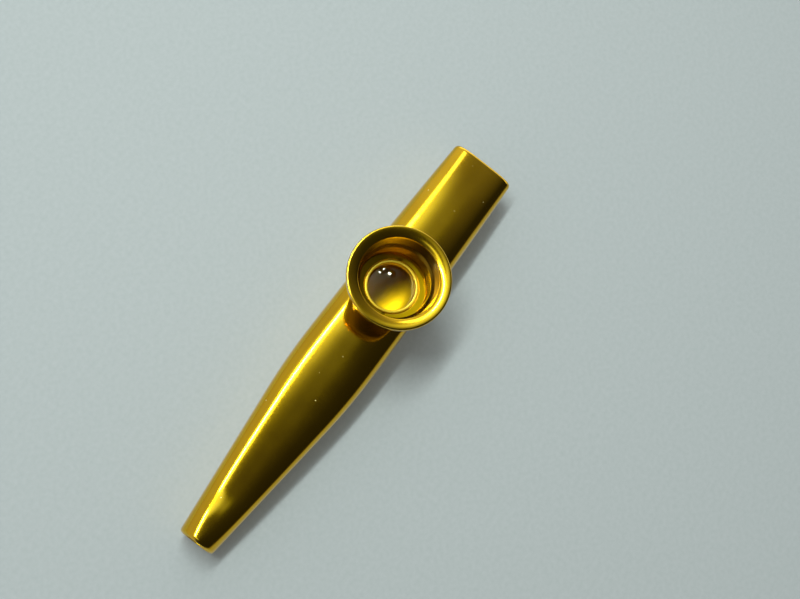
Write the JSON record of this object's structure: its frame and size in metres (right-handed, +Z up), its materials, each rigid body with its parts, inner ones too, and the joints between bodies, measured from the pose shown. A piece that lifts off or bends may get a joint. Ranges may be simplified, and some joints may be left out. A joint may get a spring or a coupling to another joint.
{
  "type": "kazoo",
  "caption": "Metal kazoo: flattened tapering tube with a flared turret cup, whose notched ring unscrews to free the membrane.",
  "frame": {"origin": "middle of the box's base, on the surface that the belly rests on", "axes": "+X towards the flattened mouth end, +Z up along the turret's axis, +Y to the left of the mouth direction"},
  "size_m": [0.12, 0.0258, 0.0257],
  "materials": {
    "gold_aluminium_tube": "polished, gold anodised",
    "gold_aluminium_cup": "turned, gold anodised",
    "clear_film": "clear film",
    "gold_aluminium_clamp": "bright turned, gold anodised",
    "gold_aluminium_ring": "turned, gold anodised"
  },
  "bodies": {
    "kazoo": {"body_tube": "gold_aluminium_tube", "turret_cup": "gold_aluminium_cup"},
    "membrane": {"membrane": "clear_film"},
    "clamp_ring": {"clamp_ring": "gold_aluminium_clamp"},
    "retaining_ring": {"retaining_ring": "gold_aluminium_ring"}
  },
  "joints": [
    {"name": "stack_lift", "type": "slide", "parent": "kazoo", "child": "membrane", "axis": [0, 0, 1], "range_m": [0, 0.0125]},
    {"name": "clamp_rise", "type": "slide", "parent": "membrane", "child": "clamp_ring", "axis": [0, 0, 1], "range_m": [0, 0.00562]},
    {"name": "ring_turn", "type": "hinge", "parent": "clamp_ring", "child": "retaining_ring", "pos_m": [0.0166, 0, 0.0145], "axis": [0, 0, 1], "range_deg": [0, 2700]}
  ],
  "couplings": [
    {"joint": "ring_turn", "follows": "clamp_rise", "rad_per_m": 8377.6}
  ]
}
